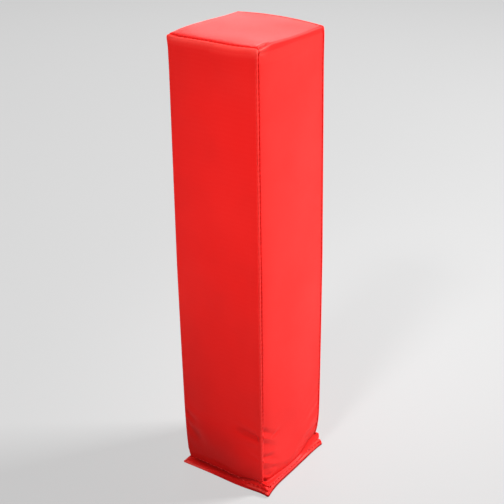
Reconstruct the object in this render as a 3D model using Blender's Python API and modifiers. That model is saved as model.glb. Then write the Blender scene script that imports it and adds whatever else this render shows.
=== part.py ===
"""Football field pylon: a sewn vinyl cover filled with a foam block that stands on a pouch of sand.

The cover is four panels. One long wrap panel goes up the right side, over the top and down the left
side. A front and a back panel are sewn to its two edges, and a base panel closes the foot with an
outside hem. Every piece is first placed in the crisp box that the panels are cut for, and settled()
then moves each point to where it lies in the filled, slightly slack pylon.

Units are metres, +Z is up, and the origin is on the floor under the middle of the pylon.
The front panel faces -Y.
"""

import math

import bmesh
import bpy

for leftover in list(bpy.data.objects):
    bpy.data.objects.remove(leftover)
pylon = bpy.data.collections.new("football_field_pylon")
bpy.context.scene.collection.children.link(pylon)

# Overall size of the stuffed box, outside the cover
HEIGHT = 0.4572
WIDTH = 0.1016

# Cloth, and the clearance between layers that lie on each other
COVER_CLOTH = 0.0006
POUCH_CLOTH = 0.0005
GAP = 0.0003

# Seams of the front and back panels: they roll round the corner, and both edges turn inside
CORNER_ROLL = 0.0024
SEAM_BEND = 0.00065
SEAM_ALLOWANCE = 0.008
TOP_ROLL = 0.005

# Hem round the foot, where the walls and the base panel are turned in and sewn from outside
HEM_HEIGHT = 0.0128
TURN_UP_STOP = 0.0036
HEM_LIFT = 0.0004
STITCH_HEIGHT = 0.0056
HEM_GROOVE = 0.0012
BASE_CORNER = 0.0095
BASE_ROLL = 0.003
ALLOWANCE_START = 0.004

# How far the filled cover leaves the crisp box
HEM_PINCH = 0.0026
HEM_FLARE = 0.002
BLUNT_SPUR = 0.0015
SHARP_SPUR = 0.003
HEM_TWIST = math.radians(4.5)
TWIST_REACH = 0.02
STITCH_DRAW = 0.0006
RIDGE_DRAW = 0.0003
FOOT_TAPER = 0.0003
FOOT_TAPER_HEIGHT = 0.045
BARREL = 0.0006
SHOULDER_DRAW = 0.0002
FACE_CROWN = 0.0014
TOP_CROWN = 0.0024

# Ballast pouch, which fills the foot under the foam
BALLAST_HEIGHT = 0.075
POUCH_LAP = 0.009
POUCH_ROLL = 0.004

# Divisions of the forms
ROLL_STEPS = 3
HALF_FACE_STEPS = 3
BASE_STEPS = 3
FOOT_STEPS = 5
BODY_STEPS = 5

# Colours of the vinyl, the foam, the pouch cloth and the sand
RED = (0.84, 0.035, 0.027)
FOAM = (0.62, 0.57, 0.44)
BLACK = (0.05, 0.05, 0.055)
SAND = (0.5, 0.38, 0.24)

HALF = WIDTH / 2
FACE_STEPS = 2 * HALF_FACE_STEPS
HEM_TURN_UP = HEM_HEIGHT - TURN_UP_STOP
LAYER = COVER_CLOTH + GAP
FOLD = COVER_CLOTH + GAP / 2
FOLD_HEIGHT = HEM_LIFT + FOLD
SEAM_LINE = CORNER_ROLL + SEAM_BEND
SEAM_END = SEAM_LINE + GAP + SEAM_ALLOWANCE
UNDER_SEAM = 2 * FOLD + LAYER + GAP
SEWN_FROM = HEM_HEIGHT + ALLOWANCE_START
SHOULDER = HEIGHT - TOP_ROLL


def ease(t):
    """Smooth step from 0 to 1, held at either end."""
    t = min(max(t, 0.0), 1.0)
    return t * t * (3 - 2 * t)


def through(knots, at):
    """Value at a place on the smooth curve through (place, value) knots, held at either end."""
    low, value = knots[0]
    for high, next_value in knots[1:]:
        if at < high:
            return value + (next_value - value) * ease((at - low) / (high - low))
        low, value = high, next_value
    return value


# How far the walls stand out from the crisp box, by height
WALL_LEAN = (
    (FOLD_HEIGHT, HEM_FLARE),
    (STITCH_HEIGHT, -STITCH_DRAW),
    (HEM_TURN_UP, -RIDGE_DRAW),
    (HEM_HEIGHT, -HEM_PINCH),
    (2 * HEM_HEIGHT, -FOOT_TAPER),
    (FOOT_TAPER_HEIGHT, -FOOT_TAPER),
    (HEIGHT / 2, BARREL),
    (HEIGHT - WIDTH / 3, -SHOULDER_DRAW),
    (HEIGHT, 0.0),
)


def settled(x, y, z):
    """Where a point of the crisp box lies once the pylon is filled and stands on its foot."""
    across_x = 1 - min(1.0, (x / HALF) ** 2)
    across_y = 1 - min(1.0, (y / HALF) ** 2)
    above_hem = ease((z - HEM_HEIGHT) / WIDTH)
    near_top = ease((z - HEIGHT + WIDTH) / WIDTH)
    crown = FACE_CROWN * above_hem * (1 - near_top / 2)
    cornered = abs(x * y / HALF**2) ** 12 * (1 - ease((z - STITCH_HEIGHT) / (HEM_HEIGHT - STITCH_HEIGHT)))
    spur = cornered * (SHARP_SPUR if x * y < 0 else BLUNT_SPUR)
    reach = 1 + (through(WALL_LEAN, z) + spur) / HALF
    out_x = x * (reach + across_y * crown / HALF)
    out_y = y * (reach + across_x * crown / HALF)
    turn = HEM_TWIST * (1 - ease((z - HEM_HEIGHT) / TWIST_REACH))
    return (
        out_x * math.cos(turn) - out_y * math.sin(turn),
        out_x * math.sin(turn) + out_y * math.cos(turn),
        z + TOP_CROWN * across_x * near_top * ease((y + HALF) / HALF),
    )


def spaced(low, high, steps):
    return [low + (high - low) * i / steps for i in range(steps + 1)]


def arc(centre, radius, start, end, steps):
    """Points on an arc from the angle start to the angle end, in degrees, both ends included."""
    angles = [math.radians(angle) for angle in spaced(start, end, steps)]
    return [(centre[0] + radius * math.cos(a), centre[1] + radius * math.sin(a)) for a in angles]


def material(name, colour, roughness):
    made = bpy.data.materials.new(name)
    made.use_nodes = True
    shader = made.node_tree.nodes["Principled BSDF"]
    shader.inputs["Base Color"].default_value = (*colour, 1.0)
    shader.inputs["Roughness"].default_value = roughness
    shader.inputs["Metallic"].default_value = 0.0
    return made


def add_piece(name, grids, finish, cloth=0.0):
    """One object from grids of points in the crisp box: a sheet of cloth, or a solid without it.

    Each grid maps (column, row) to a point, and has a face wherever all four corners of a cell are
    there. Seen from the good side, columns count to the right and rows upwards.
    """
    bm = bmesh.new()
    for grid in grids:
        placed = {key: bm.verts.new(settled(*point)) for key, point in grid.items()}
        for column, row in grid:
            corners = [(column, row), (column + 1, row), (column + 1, row + 1), (column, row + 1)]
            if all(corner in placed for corner in corners):
                bm.faces.new([placed[corner] for corner in corners])
    bmesh.ops.remove_doubles(bm, verts=bm.verts, dist=1e-6)
    mesh = bpy.data.meshes.new(name)
    bm.to_mesh(mesh)
    bm.free()
    mesh.shade_smooth()
    mesh.set_sharp_from_angle(angle=math.radians(50))
    mesh.materials.append(finish)
    piece = bpy.data.objects.new(name, mesh)
    pylon.objects.link(piece)
    if cloth:
        wall = piece.modifiers.new("Cloth", "SOLIDIFY")
        wall.thickness = cloth
        wall.offset = -1
        wall.use_even_offset = True
    return piece


# Heights shared by everything inside the walls, so that layers that touch bend alike
HEM_HEIGHTS = (*spaced(FOLD_HEIGHT, STITCH_HEIGHT, 2), HEM_TURN_UP)
BODY_HEIGHTS = (
    *spaced(SEWN_FROM, BALLAST_HEIGHT, FOOT_STEPS),
    *spaced(BALLAST_HEIGHT, SHOULDER, BODY_STEPS)[1:],
)


def wall_run():
    """Rows of a wall panel from the raw edge inside the hem up to the shoulder, as (depth, height)."""
    inside = [(2 * FOLD, height) for height in reversed(HEM_HEIGHTS)]
    fold = arc((FOLD, FOLD_HEIGHT), FOLD, 0, -180, 2)[1:]
    outside = [(0.0, height) for height in (*HEM_HEIGHTS[1:], HEM_HEIGHT, *BODY_HEIGHTS)]
    return inside + fold + outside


def over_the_top(run):
    """Stations of a path up the right side, over the top and down the left side.

    A station is (depth, height, base, out): its point lies at base plus out times TOP_ROLL less the
    depth below the wrap panel's good side. The depth is the row's own, in the hem.
    """
    inner = HALF - TOP_ROLL
    up = [(depth, height, (inner, height), (1, 0)) for depth, height in run]
    turn = [(0.0, HEIGHT, (inner, SHOULDER), out) for out in arc((0, 0), 1, 0, 90, ROLL_STEPS)[1:]]
    across = [(0.0, HEIGHT, (x, SHOULDER), (0, 1)) for x in spaced(0, inner, HALF_FACE_STEPS)[-2:0:-1]]
    right = up + turn + across
    left = [(depth, height, (-base[0], base[1]), (-out[0], out[1])) for depth, height, base, out in right]
    middle = [(0.0, HEIGHT, (0.0, SHOULDER), (0, 1))]
    return right + middle + left[::-1]


def at_depth(station, depth):
    _, _, base, out = station
    reach = TOP_ROLL - depth
    return base[0] + reach * out[0], base[1] + reach * out[1]


def side_columns(depth, sewn):
    """A side panel's edge, from its flat face round the corner: (depth, distance behind the face).

    Where it is sewn, it turns in at the seam line and lies behind the wrap panel's own turned edge.
    """
    rolled = arc((CORNER_ROLL, CORNER_ROLL), CORNER_ROLL - depth, -90, -180, ROLL_STEPS)
    columns = [(TOP_ROLL, depth)] + rolled
    if not sewn:
        return columns + [(depth, SEAM_LINE)]
    behind = 2 * FOLD + GAP
    return columns + [
        (SEAM_BEND, SEAM_LINE),
        (2 * FOLD, SEAM_LINE),
        (behind, SEAM_LINE + GAP),
        (behind, SEAM_END),
    ]


def wrap_columns(depth, sewn):
    """The wrap panel's section from its front edge to its back edge, as (depth, y), with None where
    the hem has no turned-in edge."""
    fold = arc((FOLD, SEAM_LINE + GAP + FOLD), FOLD, 0, -180, 2)
    edge = [(2 * FOLD, SEAM_END)] + fold
    if not sewn:
        edge = [None, None, (depth, SEAM_LINE + GAP), (depth, SEAM_LINE + GAP + FOLD)]
    front = [place and (place[0], place[1] - HALF) for place in edge]
    back = [place and (place[0], HALF - place[1]) for place in reversed(edge)]
    flat = spaced(front[-1][1], back[0][1], FACE_STEPS)[1:-1]
    return front + [(depth, y) for y in flat] + back


def is_sewn(station):
    return station[1] >= SEWN_FROM


def add_wrap_panel():
    grid = {}
    for row, station in enumerate(over_the_top(wall_run())):
        for column, place in enumerate(wrap_columns(station[0], is_sewn(station))):
            if place:
                x, z = at_depth(station, place[0])
                grid[column, row] = (x, place[1], z)
    return add_piece("wrap_panel", [grid], material("wrap_vinyl", RED, 0.42), COVER_CLOTH)


def add_side_panel(name, facing):
    """The front panel, facing 1, or the back panel, which is the same turned half round, facing -1."""
    edge = {}
    for row, station in enumerate(over_the_top(wall_run())):
        for column, place in enumerate(side_columns(station[0], is_sewn(station))):
            x, z = at_depth(station, place[0])
            edge[column, row] = (facing * x, facing * (place[1] - HALF), z)
    inner = HALF - TOP_ROLL
    face = {}
    for row, (depth, height) in enumerate(wall_run()):
        for column, x in enumerate(spaced(-inner, inner, FACE_STEPS)):
            face[column, row] = (facing * x, facing * (depth - HALF), height)
    return add_piece(name, [edge, face], material(name + "_vinyl", RED, 0.42), COVER_CLOTH)


def ring(half_x, half_y, corner, run):
    """Grid of a run of (depth, height) rows carried clockwise round a rounded rectangle."""
    span_x, span_y = half_x - corner, half_y - corner
    stations = []
    for quarter in range(4):
        turn = -math.pi / 2 * quarter
        along, out = (span_y, span_x) if quarter % 2 == 0 else (span_x, span_y)
        side = [((out, -place), 0.0) for place in spaced(-along, along, BASE_STEPS)]
        bend = [((out, -along), -angle) for angle in spaced(0, 90, ROLL_STEPS)[1:-1]]
        for (u, v), angle in side + bend:
            base = (u * math.cos(turn) - v * math.sin(turn), u * math.sin(turn) + v * math.cos(turn))
            aim = turn + math.radians(angle)
            stations.append((*base, math.cos(aim), math.sin(aim)))
    stations.append(stations[0])
    grid = {}
    for column, (x, y, out_x, out_y) in enumerate(stations):
        for row, (depth, height) in enumerate(run):
            reach = corner - depth
            grid[column, row] = (x + reach * out_x, y + reach * out_y, height)
    return grid


def level(half_x, half_y, corner, height, facing):
    """Grid of the flat middle that closes a ring, facing 1 up or -1 down."""
    grid = {}
    for column, x in enumerate(spaced(corner - half_x, half_x - corner, BASE_STEPS)):
        for row, y in enumerate(spaced(corner - half_y, half_y - corner, BASE_STEPS)):
            grid[column, row] = (x, facing * y, height)
    return grid


# Section of the base panel: depths of its layers, and the centres of its two turns
BASE_EDGE = 2 * FOLD + GAP
BASE_FLANGE = BASE_EDGE + 2 * FOLD
BASE_WALL = BASE_FLANGE + HEM_GROOVE
CREST = (BASE_FLANGE + HEM_GROOVE / 2, HEM_HEIGHT - HEM_GROOVE / 2)
HEEL = (BASE_WALL + BASE_ROLL, BASE_ROLL)
ABOVE_HEEL = [height for height in reversed(HEM_HEIGHTS) if height > BASE_ROLL]


def add_base_panel():
    """The floor of the cover: its rim climbs inside the hem, turns over and comes down as the flange."""
    run = [(BASE_EDGE, height) for height in reversed(HEM_HEIGHTS)]
    run += arc((BASE_EDGE + FOLD, FOLD_HEIGHT), FOLD, 180, 360, 2)[1:]
    run += [(BASE_FLANGE, height) for height in HEM_HEIGHTS[1:]]
    run += arc(CREST, HEM_GROOVE / 2, 180, 0, ROLL_STEPS)
    run += [(BASE_WALL, height) for height in ABOVE_HEEL]
    run += arc(HEEL, BASE_ROLL, 180, 270, ROLL_STEPS)
    run += [(BASE_CORNER, 0.0)]
    rim = ring(HALF, HALF, BASE_CORNER, run)
    floor = level(HALF, HALF, BASE_CORNER, 0.0, -1)
    return add_piece("base_panel", [rim, floor], material("base_vinyl", RED, 0.45), COVER_CLOTH)


def add_foam_core():
    """The foam block, pressed in by the turned seam edges behind the wrap panel."""
    bottom = BALLAST_HEIGHT + GAP
    run = [(0.0, bottom)] + [(0.0, height) for height in BODY_HEIGHTS if height > bottom]
    stations = over_the_top(run)
    inner = HALF - TOP_ROLL
    under = [(0.0, bottom, (x, bottom), (0, 0)) for x in spaced(-inner, inner, FACE_STEPS)]
    stations = stations + under + stations[:1]
    end = HALF - LAYER
    seam = HALF - SEAM_END - GAP
    front = [(TOP_ROLL, -end), (UNDER_SEAM, -end), (UNDER_SEAM, -seam), (LAYER, -seam)]
    back = [(depth, -y) for depth, y in reversed(front)]
    section = front + [(LAYER, y) for y in spaced(-seam, seam, FACE_STEPS)[1:-1]] + back
    sweep = {}
    for row, station in enumerate(stations):
        for column, (depth, y) in enumerate(section):
            x, z = at_depth(station, depth)
            sweep[column, row] = (x, y, z)
    ends = []
    for facing in (1, -1):
        face = {}
        for row, (_, height) in enumerate(run):
            for column, x in enumerate(spaced(-inner, inner, FACE_STEPS)):
                face[column, row] = (facing * x, -facing * end, height)
        ends.append(face)
    return add_piece("foam_core", [sweep, *ends], material("foam", FOAM, 0.95))


# The pouch fits inside the layers behind the seams, and its foot inside the base panel's rim
POUCH_X = HALF - (UNDER_SEAM - LAYER)
UPPER_SKIN = LAYER
LOWER_SKIN = UPPER_SKIN + POUCH_CLOTH + GAP


def ballast_run(inset, top):
    """Rows of the ballast's side, from the height top down to the floor, inset from the lower skin."""
    clear = COVER_CLOTH + GAP + inset
    side = [height for height in reversed(BODY_HEIGHTS) if SEWN_FROM < height < top]
    run = [(LOWER_SKIN + inset, height) for height in [top, *side, SEWN_FROM + inset / 2]]
    run += arc(CREST, HEM_GROOVE / 2 + clear, 45, 0, ROLL_STEPS)
    run += [(BASE_WALL + clear, height) for height in ABOVE_HEEL]
    run += arc(HEEL, BASE_ROLL - clear, 180, 270, ROLL_STEPS)
    return run + [(BASE_CORNER, clear)]


def add_pouch():
    """Two skins of plain cloth, the upper one lapped over the lower and sewn to it round the middle."""
    lap_top = (BALLAST_HEIGHT + POUCH_LAP) / 2
    lower = ring(POUCH_X, HALF, BASE_CORNER, ballast_run(0.0, lap_top))
    floor = level(POUCH_X, HALF, BASE_CORNER, LAYER, -1)
    cloth = material("pouch_lower_cloth", BLACK, 0.8)
    add_piece("pouch_lower", [lower, floor], cloth, POUCH_CLOTH)
    turn = (UPPER_SKIN + POUCH_ROLL, BALLAST_HEIGHT - POUCH_ROLL)
    run = [(BASE_CORNER, BALLAST_HEIGHT)] + arc(turn, POUCH_ROLL, 90, 180, ROLL_STEPS)
    lap_bottom = lap_top - POUCH_LAP
    between = [height for height in BODY_HEIGHTS if lap_bottom < height < turn[1]]
    run += [(UPPER_SKIN, height) for height in [*reversed(between), lap_bottom]]
    upper = ring(POUCH_X, HALF, BASE_CORNER, run)
    roof = level(POUCH_X, HALF, BASE_CORNER, BALLAST_HEIGHT, 1)
    cloth = material("pouch_upper_cloth", BLACK, 0.8)
    add_piece("pouch_upper", [upper, roof], cloth, POUCH_CLOTH)


def add_sand():
    inset = POUCH_CLOTH + GAP
    top = BALLAST_HEIGHT - inset
    turn = (LOWER_SKIN + inset + POUCH_ROLL, top - POUCH_ROLL)
    run = [(BASE_CORNER, top)] + arc(turn, POUCH_ROLL, 90, 180, ROLL_STEPS)
    run += ballast_run(inset, turn[1])[1:]
    side = ring(POUCH_X, HALF, BASE_CORNER, run)
    roof = level(POUCH_X, HALF, BASE_CORNER, top, 1)
    floor = level(POUCH_X, HALF, BASE_CORNER, LAYER + inset, -1)
    return add_piece("sand_fill", [side, roof, floor], material("sand", SAND, 0.9))


add_wrap_panel()
add_side_panel("front_panel", 1)
add_side_panel("back_panel", -1)
add_base_panel()
add_foam_core()
add_pouch()
add_sand()
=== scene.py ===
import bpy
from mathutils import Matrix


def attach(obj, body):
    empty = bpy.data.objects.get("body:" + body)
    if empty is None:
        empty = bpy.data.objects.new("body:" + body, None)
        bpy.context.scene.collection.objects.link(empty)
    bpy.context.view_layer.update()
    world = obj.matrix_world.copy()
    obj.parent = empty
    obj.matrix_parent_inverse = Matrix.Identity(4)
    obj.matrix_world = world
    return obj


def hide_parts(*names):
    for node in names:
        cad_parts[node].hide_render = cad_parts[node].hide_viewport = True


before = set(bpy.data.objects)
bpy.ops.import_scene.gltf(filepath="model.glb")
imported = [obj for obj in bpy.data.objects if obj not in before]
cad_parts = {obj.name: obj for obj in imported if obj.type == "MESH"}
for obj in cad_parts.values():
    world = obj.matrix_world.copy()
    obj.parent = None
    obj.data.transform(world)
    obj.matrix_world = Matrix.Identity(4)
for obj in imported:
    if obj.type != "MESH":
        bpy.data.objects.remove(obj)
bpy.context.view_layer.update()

import math

import bmesh
import bpy
import numpy as np
from mathutils import Matrix, Vector

# Sand: about a kilogram of loose dry sand in the foot keeps the pylon upright.
# It fills its pouch, so it takes the form of the whole foot: everything is first placed in the crisp box that
# the cover is cut for, and settled() moves each point to where it lies in the filled, slightly slack pylon.
HEIGHT = 0.4572
WIDTH = 0.1016
HALF = WIDTH / 2
COVER_CLOTH = 0.0006
POUCH_CLOTH = 0.0005
GAP = 0.0003
FOLD = COVER_CLOTH + GAP / 2
LAYER = COVER_CLOTH + GAP
CORNER_ROLL = 0.0024
SEAM_BEND = 0.00065
SEAM_LINE = CORNER_ROLL + SEAM_BEND
UNDER_SEAM = 2 * FOLD + LAYER + GAP
TOP_ROLL = 0.005
SHOULDER = HEIGHT - TOP_ROLL
INNER = HALF - TOP_ROLL
HEM_HEIGHT = 0.0128
HEM_TURN_UP = 0.0092
SEWN_FROM = HEM_HEIGHT + 0.004
STITCH_HEIGHT = 0.0056
STITCH_PITCH = 0.005
HEM_TWIST = math.radians(4.5)
FACE_CROWN = 0.0014
TOP_CROWN = 0.0024
BALLAST_HEIGHT = 0.075
TURN_LENGTH = TOP_ROLL * math.pi / 2
STRIP_LENGTH = 2 * SHOULDER + 2 * TURN_LENGTH + 2 * INNER

# The hem's crease, and how much lower it lies at the front left and on the right, and higher at the back
CREASE = 0.0121
FRONT_DROP = 0.0078
SIDE_DROP = 0.0050
BACK_RISE = 0.0060

# How far the walls stand out from the crisp box at each height, and what the four corners stand out more.
# Below the crease these are heights in a hem of even height, which evened() gives from the real, uneven one
WALL_LEAN = np.array([
    (0.0000, 0.0018),
    (0.0010, 0.0020),
    (0.0026, 0.0016),
    (0.0044, 0.0008),
    (0.0050, 0.0000),
    (0.0056, -0.0007),
    (0.0062, -0.0002),
    (0.0068, 0.0003),
    (0.0085, 0.0005),
    (0.0102, 0.0001),
    (0.0112, -0.0010),
    (0.0121, -0.0022),
    (0.0130, -0.0023),
    (0.0150, -0.0019),
    (0.0180, -0.0013),
    (0.0230, -0.0007),
    (0.0330, -0.0004),
    (0.0450, -0.0003),
    (0.1500, 0.0003),
    (0.2286, 0.0006),
    (0.3500, 0.0001),
    (0.4233, -0.0002),
    (0.4600, 0.0000),
])
CORNER_LEAN = np.array([
    (0.0064, 0.0000),
    (0.0096, 0.0002),
    (0.0124, 0.0012),
    (0.0160, 0.0010),
    (0.0210, 0.0005),
    (0.0280, 0.0002),
    (0.0450, 0.0000),
])

# How far the hem's corners stand out: front right and back left the most, and front left not at all
SHARP_SPUR = 0.0030
BLUNT_SPUR = 0.0015
# How far the hem stands out more along the front, and at its stitches and its crease where that lies low
FRONT_FLARE = 0.0012
STITCH_RELIEF = 0.0011
CREASE_RELIEF = 0.0010
# How far the top's front edge hangs, and its left corner is pulled out and up, within which reach
TOP_DIP = 0.0032
TIP_OUT = 0.0020
TIP_UP = 0.0016
TIP_REACH = 0.0055
# Forms of the panels: slow swells, puckers in shares of SEAM_DRAW, the strip's plump edge, the top's lift
# behind the seam, the seam's groove and ridge, and how far the front and back roll back and swell out
SWELL = 0.00035
PUCKER = 1.45
PLUMP = 0.0016
TOP_LIFT = 0.0010
GROOVE_WIDTH = 0.0011
SEAM_RIDGE = 0.00035
ROLLED_BACK = 0.0010
BELLY = 0.0026
HEM_BELLY = 0.0020
# The pocket beside the end of the front seam, and how unevenly the hem's edge lies on the ground
POCKET = 0.0028
EDGE_LIFT = 0.0003

# Creases of the cover: on which panel, from where to where as (across, up the strip), then how wide and deep.
# Positive depths press in. The wrap panel's chart is (y, length along the strip from the right foot), that of
# the front and back panels (x to the right as seen, z).
CREASES = {
    "wrap": [
        ((-0.0330, 0.0602), (-0.0200, 0.0650), 0.0020, 0.00050),
        ((-0.0400, 0.0400), (-0.0280, 0.0360), 0.0026, 0.00060),
        ((-0.0340, 0.0230), (-0.0080, 0.0110), 0.0030, 0.00040),
        ((0.0484, 0.0600), (0.0200, 0.0400), 0.0036, 0.00040),
        ((0.0484, 0.0330), (0.0240, 0.0250), 0.0032, 0.00050),
        ((-0.0486, 0.4558), (-0.0290, 0.4580), 0.0013, 0.00200),
        ((-0.0484, 0.4610), (-0.0420, 0.4680), 0.0013, 0.00045),
        ((-0.0484, 0.4535), (-0.0400, 0.4525), 0.0013, 0.00045),
        ((-0.0484, 0.4495), (-0.0400, 0.4455), 0.0015, 0.00035),
    ],
    "front": [
        ((-0.0494, 0.0615), (-0.0280, 0.0490), 0.0048, 0.00080),
        ((-0.0480, 0.0470), (-0.0220, 0.0320), 0.0062, 0.00090),
        ((0.0494, 0.0650), (0.0160, 0.0690), 0.0048, 0.00160),
        ((0.0494, 0.0400), (0.0300, 0.0450), 0.0030, 0.00035),
        ((0.0150, 0.0080), (0.0500, 0.0110), 0.0018, 0.00080),
    ],
    "back": [
        ((-0.0480, 0.0640), (-0.0200, 0.0480), 0.0036, 0.00060),
        ((0.0480, 0.0560), (0.0260, 0.0440), 0.0036, 0.00050),
        ((0.0470, 0.0320), (0.0200, 0.0230), 0.0036, 0.00050),
    ],
}

# How deep the wrap panel is drawn down at its seams, by the height at which a pucker leaves the seam
SEAM_DRAW = np.array([
    (0.0120, 0.0008),
    (0.0165, 0.0006),
    (0.0220, 0.0022),
    (0.0290, 0.0022),
    (0.0375, 0.0003),
    (0.0425, 0.0024),
    (0.0480, 0.0012),
    (0.0600, 0.0018),
    (0.0665, 0.0003),
    (0.0735, 0.0022),
    (0.0790, 0.0008),
    (0.1000, 0.0003),
])


def smooth(low, high, value):
    """0 below low, 1 above high and a smooth step between them."""
    t = np.clip((value - low) / (high - low), 0.0, 1.0)
    return t * t * (3 - 2 * t)


def fall(low, high, value):
    """1 below low, 0 above high and a smooth step between them."""
    return 1 - smooth(low, high, value)


def bump(offset, width):
    """A soft bump that is 1 where the offset is 0."""
    return np.exp(-((offset / width) ** 2))


def swell(u, v, seed, wave):
    """Slow uneven swell over a surface, from -1 to 1: five sines of about the same wave length."""
    draw = np.random.default_rng(seed)
    total = np.zeros(np.shape(u))
    for _ in range(5):
        angle, phase = draw.uniform(0, 2 * math.pi, 2)
        length = wave * draw.uniform(0.7, 1.4)
        total = total + np.sin(2 * math.pi * (u * math.cos(angle) + v * math.sin(angle)) / length + phase)
    return total / 3.2


def creased(panel, u, v):
    """How far its creases press a panel in at (u, v): each is a valley with a low ridge on either side."""
    total = np.zeros(np.shape(u))
    for start, end, width, depth in CREASES[panel]:
        run_u, run_v = end[0] - start[0], end[1] - start[1]
        length = math.hypot(run_u, run_v)
        along = ((u - start[0]) * run_u + (v - start[1]) * run_v) / length**2
        aside = ((u - start[0]) * run_v - (v - start[1]) * run_u) / length
        spread = width * (0.75 + 0.5 * np.clip(along, 0, 1))
        fade = smooth(-width / length, 0.05, along) * fall(0.35, 1.0 + width / length, along)
        valley = bump(aside, spread) - 0.45 * bump(np.abs(aside) - 1.9 * spread, spread)
        total = total + depth * fade * valley
    return total


def strip_place(x, z):
    """Length along the wrap strip at a point near its path, and its outward direction there."""
    turn = np.clip(np.arctan2(z - SHOULDER, np.maximum(np.abs(x) - INNER, 1e-9)), 0, math.pi / 2)
    along = np.where(z < SHOULDER, z, SHOULDER + TOP_ROLL * turn)
    over = np.abs(x) < INNER
    along = np.where(over & (z > SHOULDER), SHOULDER + TURN_LENGTH + INNER - np.abs(x), along)
    turn = np.where(over & (z > SHOULDER), math.pi / 2, np.where(z < SHOULDER, 0.0, turn))
    left = x < 0
    along = np.where(left, STRIP_LENGTH - along, along)
    return along, np.where(left, -1.0, 1.0) * np.cos(turn), np.sin(turn)


def evened(x, y, z):
    """The height in a hem of even height, and where the crease lies low, from 0 to 1.

    The real hem's crease lies low along the left part of the front and round its left corner. It lies lower
    along the right side too, and from there it rises towards the back right corner.
    """
    low = np.where(x > 0, smooth(0.002, 0.042, -y - x), smooth(-0.070, -0.015, -y + x))
    side = smooth(0.7 * HALF, HALF, x) * smooth(-0.054, -0.036, y) * fall(0.006, 0.036, y)
    rise = smooth(0.016, 0.050, y) * (x > 0)
    crease = CREASE - FRONT_DROP * low - SIDE_DROP * side + BACK_RISE * rise
    above = z + (CREASE - crease) * fall(0.020, 0.055, z)
    return np.where(z < crease, z * CREASE / crease, above), low


def filled(x, y, z, even, low):
    """Where the filling pushes points of the crisp box out, and the hem flares below its crease."""
    across_x = 1 - np.minimum(1.0, (x / HALF) ** 2)
    across_y = 1 - np.minimum(1.0, (y / HALF) ** 2)
    corner = np.abs(x * y / HALF**2)
    near_top = smooth(HEIGHT - WIDTH, HEIGHT, z)
    crown = FACE_CROWN * smooth(HEM_HEIGHT, HEM_HEIGHT + WIDTH, z) * (1 - near_top / 2)
    spur = np.where(x * y < 0, SHARP_SPUR, np.where(x < 0, 0.0, BLUNT_SPUR))
    spur = spur * corner**12 * fall(STITCH_HEIGHT, HEM_HEIGHT, z)
    lean = np.interp(even, *WALL_LEAN.T) + STITCH_RELIEF * low * bump(even - STITCH_HEIGHT, 0.0010)
    lean = lean + FRONT_FLARE * smooth(0.5 * HALF, HALF, -y) * fall(0.0020, 0.0080, even)
    lean = lean + CREASE_RELIEF * low * across_x * bump(even - 0.0125, 0.0030)
    lean = lean + corner**6 * np.interp(even, *CORNER_LEAN.T)
    reach = 1 + (lean + spur) / HALF
    out_x = x * (reach + across_y * crown / HALF)
    out_y = y * (reach + across_x * crown / HALF)
    out_z = z + TOP_CROWN * across_x * near_top * smooth(-HALF, HALF, y)
    # The front edge of the top hangs, more towards its left corner and less towards its right one
    dip = TOP_DIP + 0.0013 * smooth(0.0, 0.9 * HALF, -x) - 0.0020 * smooth(0.4 * HALF, HALF, x)
    out_z = out_z - dip * smooth(HEIGHT - 0.03, HEIGHT, z) * np.exp(-(HALF + y) / 0.009)
    # and the seam's end pulls the front left corner out to a point
    tip = np.exp(-((HALF + x) ** 2 + (HALF + y) ** 2 + (HEIGHT - z) ** 2) / TIP_REACH**2)
    return out_x - TIP_OUT * tip, out_y, out_z + TIP_UP * tip


def ledge(x, y, z, even):
    """How much lower the inner layers lie where the hem's crease lies low and makes a ledge over them."""
    within = HALF - np.maximum(np.abs(x), np.abs(y))
    share = smooth(0.0015, 0.0035, even - z) * smooth(0.0066, 0.0095, even) * fall(0.0128, 0.0165, even)
    return 0.9 * share * np.clip(within, 0, 0.0016) * fall(0.005, 0.010, within)


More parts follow.
